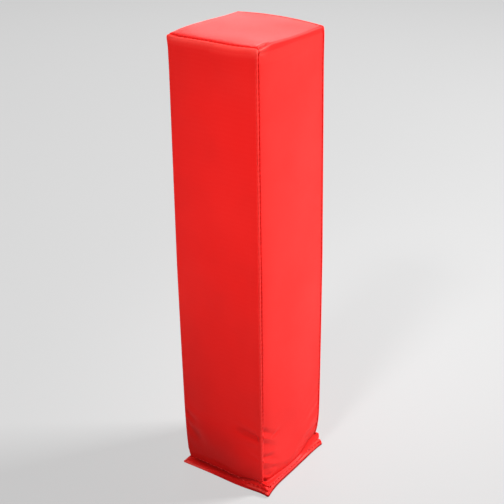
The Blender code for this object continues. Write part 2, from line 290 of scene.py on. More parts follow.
def strip_forms(x, y, z):
    """How far the wrap panel's own forms move it along x and z."""
    along, side_x, side_z = strip_place(x, z)
    beside = np.clip(HALF - SEAM_LINE - np.abs(y), 0, 1)
    outer = fall(0.004, 0.012, np.minimum(HALF - np.abs(x), HEIGHT - z)) * smooth(0.0125, 0.016, z)
    # It is drawn down beside its seams, swells slowly between them and has its own creases
    leaves = np.minimum(along, STRIP_LENGTH - along) + 0.65 * beside - 0.005 * (x < 0) - 0.011 * (y > 0)
    drawn = PUCKER * np.interp(leaves, *SEAM_DRAW.T) * np.exp(-beside / 0.0095)
    drawn = drawn * (1 - 0.85 * smooth(0.0, 0.04, y))
    drawn = drawn * (1 - 0.95 * smooth(SHOULDER - 0.004, SHOULDER + 0.004, leaves))
    slow = SWELL * swell(y, along, 3, 0.07) * smooth(0.0, 0.02, beside)
    pressed = drawn + creased("wrap", y, along) - slow
    # The seam lies in a groove, drawn deeper at each stitch, and the strip folds sharply at the shoulder
    from_seam = (HALF - SEAM_LINE - GAP / 2 - np.abs(y)) / GROOVE_WIDTH
    stitch = np.cos(2 * math.pi * along / STITCH_PITCH)
    groove = (0.0002 - 0.00016 * stitch) * bump(from_seam, 1 / 1.6) - SEAM_RIDGE * bump(from_seam + 1.9, 1)
    groove = groove * (1 - 0.8 * smooth(0.0, 0.04, y)) * (1 - 0.7 * smooth(0.002, 0.007, z - SHOULDER))
    sharp = TOP_ROLL * ((np.abs(side_x) ** 5 + side_z**5) ** -0.2 - 1)
    inward = groove - sharp + smooth(-0.0002, 0.0030, beside) * pressed
    # The filling rounds it off towards its front seam, and lifts the top steeply behind the seam there
    plump = PLUMP * (1 - np.exp(-beside / 0.0075)) * fall(-0.01, 0.045, y)
    plump = plump * smooth(0.02, 0.10, z) * fall(SHOULDER - 0.012, SHOULDER, z)
    raised = TOP_LIFT * (1 - np.exp(-np.maximum(beside - 0.0003, 0) / 0.0009)) * fall(-HALF, 0.0, y)
    raised = raised * smooth(SHOULDER, HEIGHT - 0.0010, z)
    return outer * side_x * (plump - inward), outer * (raised - side_z * inward)


def face_forms(x, y, z, even):
    """How far the front and back panels' own forms move them along y."""
    inside = np.clip(HALF - np.abs(x), 0, 1)
    total = np.zeros(np.shape(x))
    for panel, facing, seed in (("front", 1, 11), ("back", -1, 12)):
        on_face = fall(0.003, 0.012, y * facing + HALF) * smooth(0.002, 0.006, inside)
        on_face = on_face * smooth(0.0125, 0.016, z) * fall(HEIGHT - 0.005, HEIGHT - 0.001, z)
        slow = SWELL * swell(x, z, seed, 0.08) * smooth(0.0, 0.02, inside)
        total = total + facing * on_face * (creased(panel, x * facing, z) - slow)
    # Towards the foot the front and the back fall back a little more and more, and they roll back at the top
    near_face = fall(0.006, 0.045, HALF - np.abs(y))
    leftward = np.sign(y) * x
    start = 0.055 + 0.30 * leftward
    sag = (0.03 + 0.08 * smooth(-0.045, 0.045, leftward)) * np.maximum(start - z, 0) ** 2 / (2 * start)
    sag = sag * smooth(0.0095, 0.0125, even) * near_face
    rolled = ROLLED_BACK * smooth(HEIGHT - 0.008, HEIGHT + 0.001, z) * smooth(0.25 * HALF, HALF, np.abs(y))
    # while the ballast swells them out above the crease, and the hem bellies out in the middle of the front
    belly = BELLY * smooth(0.0, 0.034, inside) * near_face
    belly = belly * bump(z - 0.040, np.where(z < 0.040, 0.020, 0.045))
    fore = HEM_BELLY * bump(x - 0.015, 0.028) * smooth(0.7 * HALF, HALF, -y) * fall(0.004, 0.012, even)
    return total - np.sign(y) * (sag + rolled - belly - fore)


def corner_forms(x, y, z):
    """How far the hem's front corner is crumpled, and how deep the pocket beside the end of the seam is."""
    near = bump(HALF - x, 0.011) * bump(HALF + y, 0.011) * smooth(0.0015, 0.004, z) * fall(0.013, 0.018, z)
    crumple = 0.0007 * np.sin(z / 0.0008 + (x + y) / 0.0011) + 0.0005 * np.sin((x - y) / 0.0009 + z / 0.0013)
    pocket = POCKET * bump(y + 0.0445, 0.0030) * bump(z - 0.0112, 0.0036) * bump(HALF - x, 0.006)
    return near * crumple, pocket


def settled(points):
    """Where points of the crisp box lie once the pylon is filled, sewn and stands on its foot."""
    points = np.asarray(points, float)
    x, y, z = points[..., 0], points[..., 1], points[..., 2]
    even, low = evened(x, y, z)
    out_x, out_y, out_z = filled(x, y, z, even, low)
    strip_x, strip_z = strip_forms(x, y, z)
    crumple, pocket = corner_forms(x, y, z)
    out_x = out_x + strip_x + crumple - pocket
    out_y = out_y + face_forms(x, y, z, even) - crumple
    out_z = out_z + strip_z - ledge(x, y, z, even)

    # The hem twists against the body, sharply at its front right corner and over a longer reach away from it
    loose = fall(0.010, 0.075, x - y)
    turn = HEM_TWIST * fall(0.0098, 0.0134 + 0.034 * loose, even)
    round_x = out_x * np.cos(turn) - out_y * np.sin(turn)
    round_y = out_x * np.sin(turn) + out_y * np.cos(turn)
    # and its edge lies a little unevenly on the ground
    rim = smooth(HALF - 0.0046, HALF - 0.0036, np.maximum(np.abs(x), np.abs(y))) * fall(0.006, 0.014, z)
    lift = EDGE_LIFT * (1 + swell(round_x, round_y, 21, 0.05)) + EDGE_LIFT * smooth(0, HALF, x)
    return np.stack([round_x, round_y, out_z + rim * lift], -1)


def painted_light_share(points):
    """How much painted shade darkens the cover, most between two stitches of a seam, or below 0 where a
    painted highlight makes it pale.
    """
    x, y, z = points[..., 0], points[..., 1], points[..., 2]
    along = strip_place(x, z)[0]
    even, low = evened(x, y, z)
    from_seam = HALF - SEAM_LINE - GAP / 2 - np.abs(y)
    outside = HALF - np.maximum(np.abs(x), np.abs(y)) < 0.001
    on_front = smooth(0.96 * HALF, HALF, -y)
    on_top = smooth(HEIGHT - 0.0030, HEIGHT - 0.0010, z)
    left_end = low * smooth(0.72 * HALF, HALF, -x)

    # Painted shade in the seams' grooves, dashed between the stitches, and a painted highlight on the ridge
    # beside them
    sewn_here = z > SEWN_FROM - 0.001
    between = 0.5 - 0.5 * np.cos(2 * math.pi * along / STITCH_PITCH) * (1 + 0.4 * swell(along, y, 7, 0.02))
    between = np.maximum(smooth(0.10, 0.55, between), 0.7 * (z > HEIGHT - 0.002))
    share = 0.12 * bump(from_seam - 0.0003, 0.0011 + 0.0005 * on_top) * between * sewn_here
    share = share * (1 - 0.5 * smooth(0.0, 0.04, y)) * (1 - 0.6 * smooth(0.38, 0.44, z) * (1 - on_top))
    painted_highlight = bump(from_seam + 0.0019, 0.0009) * (0.62 - 0.25 * between) * sewn_here * (1 - on_top)
    # Painted highlights on the other panels' top edges, the strip's corner at the front shoulder and the hem
    # too
    painted_highlight = painted_highlight + 1.3 * np.exp(-(HEIGHT - z) / 0.0022) * (from_seam < 0.0001) * (z > SHOULDER - 0.02)
    painted_highlight = painted_highlight + 0.8 * bump(y + 0.0440, 0.0065) * bump(along - 0.4560, 0.0050)
    painted_highlight = painted_highlight + bump(even - 0.0040, 0.0016) * (0.8 + 0.8 * low * np.abs(x / HALF) ** 2)
    painted_highlight = painted_highlight + 0.6 * left_end * bump(even - 0.0080, 0.0030)
    # and the strip's right side is painted paler above the foot, as painted light
    painted_right_light = smooth(0.05, 0.20, z) * (z < SHOULDER) * (x > 0.9 * HALF) * smooth(0.0, 0.004, from_seam)
    painted_highlight = painted_highlight + 0.18 * painted_right_light

    # Painted shade on the hem: round its stitches, a painted shadow along its lower edge, in the pocket and
    # in the middle of the front
    sideways = np.where(np.abs(x) > np.abs(y), y, x)
    near_hole = 0.5 + 0.5 * np.cos(2 * math.pi * sideways / STITCH_PITCH)
    hem = bump(z - STITCH_HEIGHT, 0.0007) * (0.3 + 0.7 * near_hole) * (1 - low)
    hem = hem * (1 - 0.6 * bump(HALF - x, 0.012) * bump(HALF + y, 0.012))
    hem = np.maximum(hem, 0.95 * fall(0.0020, 0.0032, z) * (1 - low) * outside)
    pocket = 0.62 * bump(y + 0.0450, 0.0034) * bump(z - 0.0100, 0.0050) * (x > 0)
    hem = np.maximum(hem, np.minimum(pocket, 0.42) * (pocket > 0.05) * outside)
    hem = np.maximum(hem, 0.30 * bump(x - 0.004, 0.016) * (y < 0) * (even < 0.0116) * outside)
    # Painted shade in the crease above it, and painted shade towards the foot, fading out up the walls
    valley = np.where(even < 0.0124, 0.0014 + 0.0014 * low * fall(0.45 * HALF, 0.95 * HALF, -x), 0.0015)
    crease = (0.45 + 0.25 * on_front + 0.12 * low) * bump(even - 0.0124, valley)
    crease = crease * outside * (1 - 0.6 * left_end)
    painted_foot_shade = (0.12 + 0.24 * on_front) * np.exp(-np.maximum(even - 0.0130, 0) / 0.013)
    # Painted shade low on the front, most at its left, and painted shade in the creases
    painted_front_shade = 0.20 * bump(x + 0.0330, 0.0110) * bump(z - 0.0360, 0.0190)
    painted_front_shade = painted_front_shade + 0.20 * smooth(0.0, 0.0011, creased("front", x, z)) * (z > 0.02)
    painted_front_shade = np.maximum(painted_front_shade, 0.25 * fall(0.016, 0.080, z) * (1 - 0.75 * smooth(-0.010, 0.045, x)))
    painted_foot_shade = np.maximum(painted_foot_shade, painted_front_shade * on_front * (np.abs(x) < 0.0493)) * (even > 0.0118)
    folded = 0.7 * smooth(0.0008, 0.0016, creased("wrap", y, along)) * (np.abs(y) < HALF - SEAM_LINE)
    painted_shade = np.max([share, hem, crease, folded, painted_foot_shade * outside], axis=0)
    return painted_shade - painted_highlight * (1 - np.minimum(painted_shade / 0.1, 1))


def arc(centre, radius, start, end, steps):
    """Points on an arc from the angle start to the angle end, in degrees, both ends included."""
    angles = np.radians(np.linspace(start, end, steps + 1))
    return [(centre[0] + radius * math.cos(a), centre[1] + radius * math.sin(a)) for a in angles]


def placed(name, data):
    """A new object in the scene."""
    thing = bpy.data.objects.new(name, data)
    bpy.context.scene.collection.objects.link(thing)
    return thing


def make_piece(name, grids, finish, cloth=0.0):
    """One object from grids of points in the crisp box: a sheet of cloth, or a closed body without it.

    A grid is (points, kept, flat): points[row, column], which are there, and their place on the flat cut.
    Seen from the good side, columns count to the right and rows upwards.
    """
    places, quads, flats, painted_light_shares, start = [], [], [], [], 0
    for points, kept, flat in grids:
        rows, columns = kept.shape
        number = start + np.arange(rows * columns).reshape(rows, columns)
        start += rows * columns
        near, far = slice(None, -1), slice(1, None)
        corners = [(near, near), (near, far), (far, far), (far, near)]
        whole = np.all([kept[corner] for corner in corners], axis=0)
        quads.append(np.stack([number[corner][whole] for corner in corners], -1))
        places.append(settled(points).reshape(-1, 3))
        painted_light_shares.append(painted_light_share(np.asarray(points, float)).ravel())
        flats.append(np.asarray(flat, float).reshape(-1, 2))
    places, quads, flats = np.concatenate(places), np.concatenate(quads), np.concatenate(flats)
    mesh = bpy.data.meshes.new(name)
    mesh.from_pydata(places.tolist(), [], quads.tolist())
    # The seam attribute carries painted shade above 0 and painted highlights below 0
    share = mesh.attributes.new("seam", "FLOAT", "POINT")
    share.data.foreach_set("value", np.concatenate(painted_light_shares).astype(np.float32))
    cut = mesh.uv_layers.new(name="cut")
    cut.uv.foreach_set("vector", flats[quads.ravel()].astype(np.float32).ravel())
    bm = bmesh.new()
    bm.from_mesh(mesh)
    bmesh.ops.delete(bm, geom=[v for v in bm.verts if not v.link_faces], context="VERTS")
    bmesh.ops.remove_doubles(bm, verts=bm.verts, dist=2e-6)
    bm.to_mesh(mesh)
    bm.free()
    mesh.shade_smooth()
    mesh.materials.append(finish)
    piece = placed(name, mesh)
    if cloth:
        wall = piece.modifiers.new("Cloth", "SOLIDIFY")
        wall.thickness = cloth
        wall.offset = -1
    return piece


def ring(half_x, half_y, corner, run, cell=0.003):
    """Grid of a run of (depth, height) rows carried clockwise round a rounded rectangle."""
    span_x, span_y = half_x - corner, half_y - corner
    stations = []
    for quarter in range(4):
        turn = -math.pi / 2 * quarter
        along, out = (span_y, span_x) if quarter % 2 == 0 else (span_x, span_y)
        side = [((out, -place), 0.0) for place in np.linspace(-along, along, round(2 * along / cell) + 1)]
        bend = [((out, -along), -angle) for angle in np.linspace(0, 90, 7)[1:-1]]
        for (u, v), angle in side + bend:
            base = (u * math.cos(turn) - v * math.sin(turn), u * math.sin(turn) + v * math.cos(turn))
            aim = turn + math.radians(angle)
            stations.append((*base, math.cos(aim), math.sin(aim)))
    stations.append(stations[0])
    station = np.array(stations)[None, :, :]
    rows = np.array(run)[:, None, :]
    reach = corner - rows[..., 0]
    points = np.stack([
        station[..., 0] + reach * station[..., 2],
        station[..., 1] + reach * station[..., 3],
        rows[..., 1] + 0 * station[..., 0],
    ], -1)
    around = np.concatenate([[0], np.cumsum(np.hypot(*np.diff(points[0, :, :2], axis=0).T))])
    down = np.concatenate([[0], np.cumsum(np.hypot(*np.diff(rows[:, 0], axis=0).T))])
    flat = np.stack(np.broadcast_arrays(around[None, :], down[:, None]), -1)
    return points, np.ones(points.shape[:2], bool), flat


def level(half_x, half_y, corner, height, facing, cell=0.003):
    """Grid of the flat middle that closes a ring, facing 1 up or -1 down."""
    xs = np.linspace(corner - half_x, half_x - corner, round(2 * (half_x - corner) / cell) + 1)
    ys = facing * np.linspace(corner - half_y, half_y - corner, round(2 * (half_y - corner) / cell) + 1)
    x, y = np.broadcast_arrays(xs[None, :], ys[:, None])
    points = np.stack([x, y, 0 * x + height], -1)
    return points, np.ones(points.shape[:2], bool), points[..., :2]


class Field:
    """A value in a tree of nodes that is written as an expression: each operator adds its Math node."""

    def __init__(self, tree, socket):
        self.tree, self.socket = tree, socket

    def math(self, operation, *others):
        return self.tree.node("Math", {"operation": operation}, dict(enumerate((self, *others))))

    def __add__(self, other):
        return self.math("ADD", other)

    def __mul__(self, other):
        return self.math("MULTIPLY", other)

    def __sub__(self, other):
        return self.math("SUBTRACT", other)

    def __rsub__(self, other):
        return self.tree.node("Math", {"operation": "SUBTRACT"}, {0: other, 1: self})

    __radd__, __rmul__ = __add__, __mul__

    def beside(self, output):
        """Another output of the same node."""
        return Field(self.tree, self.socket.node.outputs[output])

    def step(self, low, high):
        """0 below low, 1 above high and a smooth step between them."""
        settings = {"interpolation_type": "SMOOTHSTEP"}
        return self.tree.node("MapRange", settings, {"Value": self, "From Min": low, "From Max": high})


class Tree:
    """The nodes of a material, of the world or of a group."""

    def __init__(self, tree):
        self.tree = tree

    def plug(self, socket, value):
        if isinstance(value, Field):
            self.tree.links.new(value.socket, socket)
        else:
            socket.default_value = value

    def node(self, kind, settings, sockets, output=0):
        """Adds a node, "Math" for "ShaderNodeMath": its settings, then its sockets' values or links."""
        made = self.tree.nodes.new(kind if "Node" in kind else "ShaderNode" + kind)
        for name, value in settings.items():
            setattr(made, name, value)
        for name, value in sockets.items():
            self.plug(made.inputs[name], value)
        return Field(self, made.outputs[output]) if made.outputs else None

    def mix(self, low, high, share):
        return self.node("Mix", {"data_type": "RGBA"}, {0: share, 6: low, 7: high}, 2)


class Finish(Tree):
    """A material on one Principled shader, whose constant values are given by name."""

    def __init__(self, name, **constants):
        self.material = bpy.data.materials.new(name)
        self.material.use_nodes = True
        super().__init__(self.material.node_tree)
        self.shader = self.tree.nodes["Principled BSDF"]
        for constant, value in constants.items():
            self.shader.inputs[constant.replace("_", " ")].default_value = value

    def noise(self, scale, detail=2.0, where=None):
        where = where or self.node("TexCoord", {}, {}, "Object")
        return self.node("TexNoise", {}, {"Vector": where, "Scale": scale, "Detail": detail})

    def cut(self):
        """Place on the flat cut, in metres."""
        return self.node("UVMap", {"uv_map": "cut"}, {})

    def surface(self, **looks):
        """Feeds the shader: Base_Color and Roughness by name, and height in metres to its Bump."""
        height = looks.pop("height", None)
        for name, value in looks.items():
            self.plug(self.shader.inputs[name.replace("_", " ")], value)
        if height is not None:
            bumps = self.node("Bump", {}, {"Height": height, "Distance": 1.0, "Strength": 1.0})
            self.plug(self.shader.inputs["Normal"], bumps)
        return self.material


# Sections of the foot: the base panel's own layers, and the ballast that fits inside them
HEM_GROOVE = 0.0012
BASE_CORNER = 0.0095
BASE_ROLL = 0.003
BASE_EDGE = 2 * FOLD + GAP
BASE_FLANGE = BASE_EDGE + 2 * FOLD
BASE_WALL = BASE_FLANGE + HEM_GROOVE
CREST = (BASE_FLANGE + HEM_GROOVE / 2, HEM_HEIGHT - HEM_GROOVE / 2)
HEEL = (BASE_WALL + BASE_ROLL, BASE_ROLL)
POUCH_X = HALF - (UNDER_SEAM - LAYER)
UPPER_SKIN = LAYER
LOWER_SKIN = UPPER_SKIN + POUCH_CLOTH + GAP
POUCH_ROLL = 0.004
RISE = list(np.linspace(HEM_TURN_UP, BASE_ROLL, 24)[1:-1])


def ballast_run(inset, top):
    """Rows of the ballast's side, from the height top down to the floor, inset from the lower skin."""
    clear = COVER_CLOTH + GAP + inset
    foot = SEWN_FROM + inset / 2
    heights = np.linspace(top, foot, round((top - foot) / 0.002) + 1)
    run = [(LOWER_SKIN + inset, height) for height in heights]
    run += arc(CREST, HEM_GROOVE / 2 + clear, 45, 0, 5)
    run += [(BASE_WALL + clear, height) for height in (HEM_TURN_UP, *RISE)]
    run += arc(HEEL, BASE_ROLL - clear, 180, 270, 5)
    return run + [(BASE_CORNER, clear)]


GRAINS_PER_METRE = 1400.0
TAN_GRAIN = (0.52, 0.40, 0.25, 1)
PALE_GRAIN = (0.72, 0.62, 0.45, 1)
BROWN_GRAIN = (0.28, 0.19, 0.10, 1)
sand_inset = POUCH_CLOTH + GAP
sand_top = BALLAST_HEIGHT - sand_inset
sand_turn = (LOWER_SKIN + sand_inset + POUCH_ROLL, sand_top - POUCH_ROLL)
sand_run = [(BASE_CORNER, sand_top)] + arc(sand_turn, POUCH_ROLL, 90, 180, 6)
sand_run += ballast_run(sand_inset, sand_turn[1])[1:]

grains = Finish("dry_sand", Roughness=0.9)
where = grains.node("TexCoord", {}, {}, "Object")
grain = grains.node("TexVoronoi", {}, {"Vector": where, "Scale": GRAINS_PER_METRE})
shade = grains.node("SeparateColor", {}, {"Color": grain.beside("Color")})
sand = make_piece(
    "sand",
    [
        ring(POUCH_X, HALF, BASE_CORNER, sand_run),
        level(POUCH_X, HALF, BASE_CORNER, sand_top, 1),
        level(POUCH_X, HALF, BASE_CORNER, LAYER + sand_inset, -1),
    ],
    grains.surface(
        Base_Color=grains.mix(
            grains.mix(TAN_GRAIN, PALE_GRAIN, shade), BROWN_GRAIN, grains.noise(900.0).step(0.55, 0.75)
        ),
        height=grain * -0.0003,
    ),
)
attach(sand, "root")
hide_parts("sand_fill")

# Pouch: two skins of black plain-woven cloth that hold the sand.
# The upper one laps 9 mm over the lower and is sewn to it round the middle. The pouch lies loose in the foot.
POUCH_LAP = 0.009
YARN = 0.0009
BLACK = (0.028, 0.028, 0.031, 1)
RUBBED_BLACK = (0.075, 0.075, 0.082, 1)
lap_top = (BALLAST_HEIGHT + POUCH_LAP) / 2

woven = Finish("pouch_cloth", Roughness=0.85, Sheen_Weight=0.2)
place = woven.node("SeparateXYZ", {}, {"Vector": woven.cut()})
warp = (place * (2 * math.pi / YARN)).math("SINE")
weft = (place.beside("Y") * (2 * math.pi / YARN)).math("SINE")
over = (warp * weft).step(-0.3, 0.3)
height = over * warp.math("ABSOLUTE") + (1 - over) * weft.math("ABSOLUTE")
pouch_cloth = woven.surface(Base_Color=woven.mix(BLACK, RUBBED_BLACK, height), height=height * 0.00012)
lower_grids = [
    ring(POUCH_X, HALF, BASE_CORNER, ballast_run(0.0, lap_top)),
    level(POUCH_X, HALF, BASE_CORNER, LAYER, -1),
]
upper_turn = (UPPER_SKIN + POUCH_ROLL, BALLAST_HEIGHT - POUCH_ROLL)
upper_run = [(BASE_CORNER, BALLAST_HEIGHT)] + arc(upper_turn, POUCH_ROLL, 90, 180, 6)
upper_run += [(UPPER_SKIN, height) for height in np.linspace(upper_turn[1], lap_top - POUCH_LAP, 18)[1:]]
upper_grids = [
    ring(POUCH_X, HALF, BASE_CORNER, upper_run),
    level(POUCH_X, HALF, BASE_CORNER, BALLAST_HEIGHT, 1),
]
for name, grids, node in (
    ("lower_pouch_skin", lower_grids, "pouch_lower"),
    ("upper_pouch_skin", upper_grids, "pouch_upper"),
):
    skin = make_piece(name, grids, pouch_cloth, POUCH_CLOTH)
    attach(skin, "root")
    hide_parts(node)

# Foam: one cut block of open-cell polyurethane that fills the cover above the pouch.
# The cover's turned seam edges press their shape into it, and it pushes the panels out into their crown.
FOAM_CLEAR = 0.0005
SEAM_ALLOWANCE = 0.008
SEAM_END = SEAM_LINE + GAP + SEAM_ALLOWANCE
CELLS_PER_METRE = 900.0
CELL_WALL = (0.70, 0.65, 0.51, 1)
CELL_HOLLOW = (0.40, 0.35, 0.24, 1)


class Strip:
    """Stations of a path up the right side, over the top and down the left side.

    A point lies at base plus out times TOP_ROLL less its depth below the wrap panel's good side.
    """

    def __init__(self, run, step):
        """run: the right side's rows as (depth, height) from the foot up. step: their distance on the top."""
        across = max(2, round(INNER / step))
        turn = [((INNER, SHOULDER), out, 0.0) for out in arc((0, 0), 1, 0, 90, 13)[1:]]
        top = [((x, SHOULDER), (0, 1), 0.0) for x in np.linspace(INNER, 0, across + 1)[1:]]
        right = [((INNER, height), (1, 0), depth) for depth, height in run] + turn + top
        left = [((-base[0], base[1]), (-out[0], out[1]), depth) for base, out, depth in right[:-1]]
        stations = right + left[::-1]
        self.base = np.array([base for base, _, _ in stations])
        self.out = np.array([out for _, out, _ in stations], float)
        self.depth = np.array([depth for _, _, depth in stations])
        middle = self.base + (TOP_ROLL - self.depth)[:, None] * self.out
        self.along = np.concatenate([[0], np.cumsum(np.hypot(*np.diff(middle, axis=0).T))])

    def points(self, depth, y):
        """Points[station, column] at given depths and distances y, each an array of the same shape."""
        reach = (TOP_ROLL - depth)[..., None]
        xz = self.base[:, None, :] + reach * self.out[:, None, :]
        return np.stack([xz[..., 0], y + 0 * depth, xz[..., 1]], -1)


foam_low = BALLAST_HEIGHT + GAP
foam_run = [(0.0, height) for height in np.linspace(foam_low, SHOULDER, 190)]
foam_strip = Strip(foam_run, 0.002)
end, seam = HALF - LAYER - FOAM_CLEAR, HALF - SEAM_END - GAP
foam_edge = [(TOP_ROLL, -end)]
foam_edge += [(UNDER_SEAM + FOAM_CLEAR, y) for y in (*np.linspace(-end, 0.007 - HALF, 10), -seam)]
foam_edge += [(LAYER + FOAM_CLEAR, -seam)]
foam_section = foam_edge + [(LAYER + FOAM_CLEAR, y) for y in np.linspace(-seam, seam, 32)[1:-1]]
foam_section += [(depth, -y) for depth, y in reversed(foam_edge)]
section = np.array(foam_section)
points = foam_strip.points(np.tile(section[:, 0], (len(foam_strip.depth), 1)), section[None, :, 1])
under_x = np.linspace(-INNER, INNER, 40)
under = np.stack([
    under_x[:, None] + 0 * section[None, :, 1],
    section[None, :, 1] + 0 * under_x[:, None],
    foam_low + 0 * under_x[:, None] * section[None, :, 1],
], -1)
points = np.concatenate([points, under, points[:1]])
foam_grids = [(points, np.ones(points.shape[:2], bool), points[..., :2])]
heights = np.array([height for _, height in foam_run])
for facing in (1, -1):
    x, z = np.broadcast_arrays(np.linspace(-INNER, INNER, 47)[None, :], heights[:, None])
    face = np.stack([facing * x, -facing * end + 0 * x, z], -1)
    foam_grids.append((face, np.ones(x.shape, bool), face[..., ::2]))

sponge = Finish("open_cell_foam", Roughness=0.95)
where = sponge.node("TexCoord", {}, {}, "Object")
cells = {"Vector": where, "Scale": CELLS_PER_METRE}
cell = sponge.node("TexVoronoi", {"feature": "DISTANCE_TO_EDGE"}, cells)
wall = 1 - cell.step(0.02, 0.25)
foam = make_piece(
    "foam_block",
    foam_grids,
    sponge.surface(Base_Color=sponge.mix(CELL_HOLLOW, CELL_WALL, wall), height=wall * 0.0003),
)
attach(foam, "root")
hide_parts("foam_core")

# Wrap panel: one strip of vinyl-coated polyester, up the right side, over the top and down the left side.
# Its long edges turn in along the seams, and both ends turn up inside the hem. It is red all through.
ROW = 0.00125
SEAM_GAPE = 0.0005
EDGE_BAND = 0.030
HEM_LIFT = 0.0004
FOLD_HEIGHT = HEM_LIFT + FOLD
# The strip's red is paler than the other panels': painted sheen for its brightly lit sides and top
RED = (0.80, 0.0095, 0.0080, 1)
PAINTED_SHEEN_RED = (0.80, 0.0190, 0.0165, 1)
DEEPER_RED = (0.70, 0.0095, 0.008, 1)
WARMER_RED = (0.88, 0.020, 0.016, 1)
PAINTED_SHADE_RED = (0.12, 0.001, 0.001, 1)
PAINTED_HIGHLIGHT_RED = (1.0, 0.100, 0.082, 1)
SCRIM = 0.0011
EMBOSS_PER_METRE = 1500.0


def wall_run():
    """Rows of a wall panel from the raw edge inside the hem up to the shoulder, as (depth, height)."""
    inside = [(2 * FOLD, height) for height in np.linspace(HEM_TURN_UP, FOLD_HEIGHT, 32)]
    fold = arc((FOLD, FOLD_HEIGHT), FOLD, 0, -180, 6)[1:]
    low = [(0.0, height) for height in np.linspace(FOLD_HEIGHT, SEWN_FROM, 60)[1:]]
    body = [*np.arange(14 * ROW, 0.1, ROW), *np.arange(0.1, 0.43, 2 * ROW), *np.arange(0.43, SHOULDER, ROW)]
    return inside + fold + low + [(0.0, height) for height in (*body, SHOULDER)]


cover = Strip(wall_run(), ROW)
row_height = cover.base[:, 1] + (TOP_ROLL - cover.depth) * cover.out[:, 1]
sewn = row_height >= SEWN_FROM - 1e-6
# Between two stitches the seam gapes a little, and at each stitch it is drawn shut
row_along = strip_place(cover.base[:, 0] + (TOP_ROLL - cover.depth) * cover.out[:, 0], row_height)[0]
beat = 0.5 - 0.5 * np.cos(2 * math.pi * row_along / STITCH_PITCH)
beat = beat * (1 + 0.35 * swell(row_along, 0 * row_along, 5, 0.02)) * sewn


def vinyl(name, seed, red=RED):
    """Satin vinyl: a fine emboss over the scrim's faint weave, slightly mottled, with painted shade and
    painted highlights from the seam attribute.
    """
    skin = Finish(name, Specular_IOR_Level=0.085)
    place = skin.node("SeparateXYZ", {}, {"Vector": skin.cut()})
    across, up = ((way * (2 * math.pi / SCRIM)).math("SINE") for way in (place, place.beside("Y")))
    where = skin.node("Mapping", {}, {
        "Vector": skin.node("TexCoord", {}, {}, "Object"),
        "Location": (seed * 0.37, seed * 0.11, seed * 0.23),
    })
    pebbles = {"Vector": where, "Scale": EMBOSS_PER_METRE, "Smoothness": 0.6}
    emboss = skin.node("TexVoronoi", {"feature": "SMOOTH_F1"}, pebbles)
    mottle = skin.noise(22.0, 3.0, where)
    blotch = skin.noise(7.0, 2.0, where)
    colour = skin.mix(red, DEEPER_RED, mottle.step(0.35, 0.8) * 0.5)
    colour = skin.mix(colour, WARMER_RED, blotch.step(0.45, 0.75) * 0.4)
    # The seam attribute darkens the colour with painted shade above 0 and pales it with a painted highlight
    # below 0
    share = skin.node("Attribute", {"attribute_name": "seam"}, {}, "Fac")
    colour = skin.mix(skin.mix(colour, PAINTED_SHADE_RED, share * 0.85), PAINTED_HIGHLIGHT_RED, share * -0.6)
    height = across * up * 0.000006 + emboss * 0.00006
    return skin.surface(Base_Color=colour, Roughness=0.40 + mottle * 0.10, height=height)


def side_by_side(*parts):
    """Columns at every station of the strip, from parts given at every station or once for all of them."""
    return np.concatenate([np.broadcast_to(part, (len(sewn), np.shape(part)[-1])) for part in parts], 1)


def wrap_section():
    """The strip's section at every station, from its front to its back edge: depth, y and what is there."""
    stitched = sewn[:, None]
    # The turned edge, which lies flat below SEWN_FROM
    first = SEAM_LINE + GAP + FOLD
    turn = np.array(arc((FOLD, first), FOLD, 0, -180, 6))
    unturned = SEAM_LINE + GAP + np.array([0, 0, 0, 0, 1, 2, 3]) / 3 * FOLD
    depth = np.where(stitched, turn[:, 0], cover.depth[:, None])
    away = np.where(stitched, turn[:, 1] + SEAM_GAPE * beat[:, None], unturned)
    kept = stitched | (np.arange(7) >= 3)
    # The seam allowance behind it
    depth = side_by_side(np.full(3, 2 * FOLD), depth)
    away = side_by_side(np.linspace(SEAM_END, first, 4)[:-1], away)
    kept = side_by_side(np.tile(stitched, 3), kept)
    # The face between the two edges, with its columns closer together towards the seams
    near = first + np.cumsum([0.0004, 0.0004, 0.0005, 0.0007, 0.0010, 0.0014, 0.0018])
    folded = np.linspace(near[-1], EDGE_BAND, 13)[1:]
    middle = np.linspace(EDGE_BAND, WIDTH - EDGE_BAND, 14)[1:-1]
    face = np.concatenate([near, folded, middle, WIDTH - folded[::-1], WIDTH - near[::-1]])
    depth = side_by_side(depth, cover.depth[:, None] + 0 * face, depth[:, ::-1])
    y = side_by_side(away, face, WIDTH - away[:, ::-1]) - HALF
    kept = side_by_side(kept, np.ones(len(face), bool), kept[:, ::-1])
    return depth, y, kept


depth, y, kept = wrap_section()
points = cover.points(depth, y)
steps = np.hypot(np.diff(depth, axis=1), np.diff(y, axis=1))
across = np.concatenate([np.zeros((len(depth), 1)), np.cumsum(steps, 1)], 1)
across -= across[:, across.shape[1] // 2][:, None]
flat = np.stack([across, np.tile(cover.along[:, None], (1, depth.shape[1]))], -1)
# The strip's paler red is painted sheen
wrap_vinyl = vinyl("red_vinyl_wrap", 1, PAINTED_SHEEN_RED)
wrap = make_piece("wrap_cover_panel", [(points, kept, flat)], wrap_vinyl, COVER_CLOTH)
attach(wrap, "root")
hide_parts("wrap_panel")

# Front and back panels: the same vinyl, sewn inside out to the strip along both sides and the top.
# Turned right side out, each rolls round the corner to the seam, and its edges lie behind the strip's.


